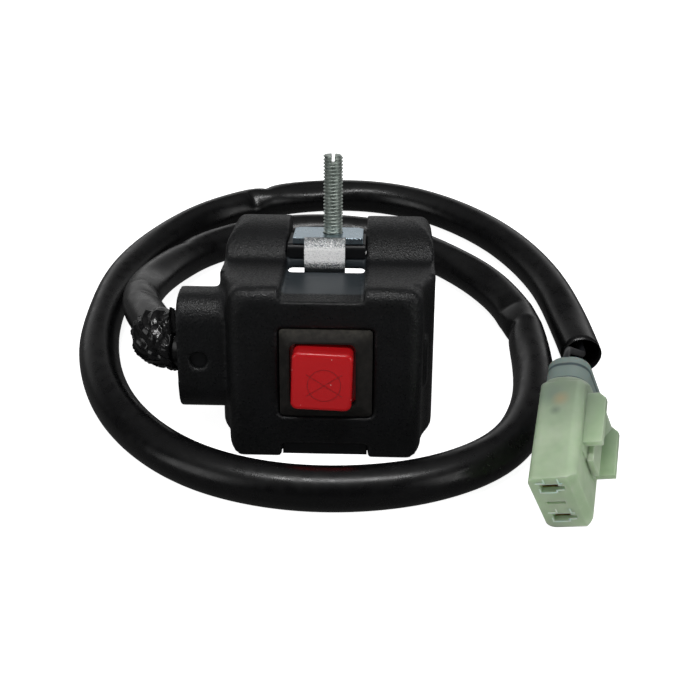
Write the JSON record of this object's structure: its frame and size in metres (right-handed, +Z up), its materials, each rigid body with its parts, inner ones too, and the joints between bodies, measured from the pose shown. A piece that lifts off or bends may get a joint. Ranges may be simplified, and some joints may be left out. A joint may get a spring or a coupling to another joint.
{
  "type": "engine kill switch",
  "caption": "Motorcycle engine kill switch: black handlebar clamp housing with a square red push button, a steel strap clamp with a tall screw, a looped black cable and a pale two-way plug.",
  "frame": {"origin": "on the handlebar's axis, halfway along the clamp seat", "axes": "+X along the handlebar to the part's right seen from the button, +Y from the button through the handlebar to the open back of the seat, +Z up, with the part standing on its flat underside"},
  "size_m": [0.1142, 0.1375, 0.0479],
  "materials": {
    "body_plastic": "spark-textured black",
    "cover_plastic": "smooth black",
    "frame_rubber": "dusty grey-brown black",
    "button_red": "glossy red",
    "inner_plastic": "natural",
    "spring_steel": "drawn wire",
    "contact_brass": "stamped",
    "wire_insulation": "vinyl",
    "zinc_steel": "zinc plated",
    "tape_vinyl": "glossy crinkled vinyl tape",
    "sleeve_vinyl": "satin black soft vinyl",
    "plug_nylon": "translucent pale green-white",
    "seal_rubber": "pale green silicone"
  },
  "bodies": {
    "switch body": {"housing": "body_plastic", "underside_cover": "cover_plastic", "cover_screws": "zinc_steel", "button_frame": "frame_rubber", "return_spring": "spring_steel", "contact_base": "inner_plastic", "fixed_contact_left": "contact_brass", "fixed_contact_right": "contact_brass", "lead_wire_left": "wire_insulation", "lead_wire_right": "wire_insulation", "outlet_pin": "cover_plastic", "clamp_pad": "cover_plastic", "tape_wrap": "tape_vinyl", "cable_sleeve": "sleeve_vinyl", "wire_end_lower": "wire_insulation", "wire_end_upper": "wire_insulation", "plug_housing": "plug_nylon", "plug_seal": "seal_rubber", "plug_latch": "plug_nylon", "plug_terminal_lower": "contact_brass", "plug_terminal_upper": "contact_brass"},
    "push button": {"button_cap": "button_red", "plunger": "inner_plastic", "contact_bridge": "contact_brass"},
    "strap": {"clamp_strap": "zinc_steel"},
    "screw": {"clamp_screw": "zinc_steel"}
  },
  "joints": [
    {"name": "button press", "type": "slide", "parent": "switch body", "child": "push button", "axis": [0, 0.9763, -0.2164], "range_m": [0, 0.0033], "stiffness_N_per_m": 600, "springref_m": -0.001, "deforming": ["return_spring"]},
    {"name": "screw turn", "type": "hinge", "parent": "switch body", "child": "screw", "pos_m": [0.0005, -0.00382, 0.01416], "axis": [0, 0.2164, 0.9763], "range_deg": [-5400, 0]},
    {"name": "strap slide", "type": "slide", "parent": "switch body", "child": "strap", "axis": [0, 0.2164, 0.9763], "range_m": [0, 0.0105]}
  ],
  "couplings": [
    {"joint": "screw turn", "follows": "strap slide", "rad_per_m": -8975.9}
  ]
}
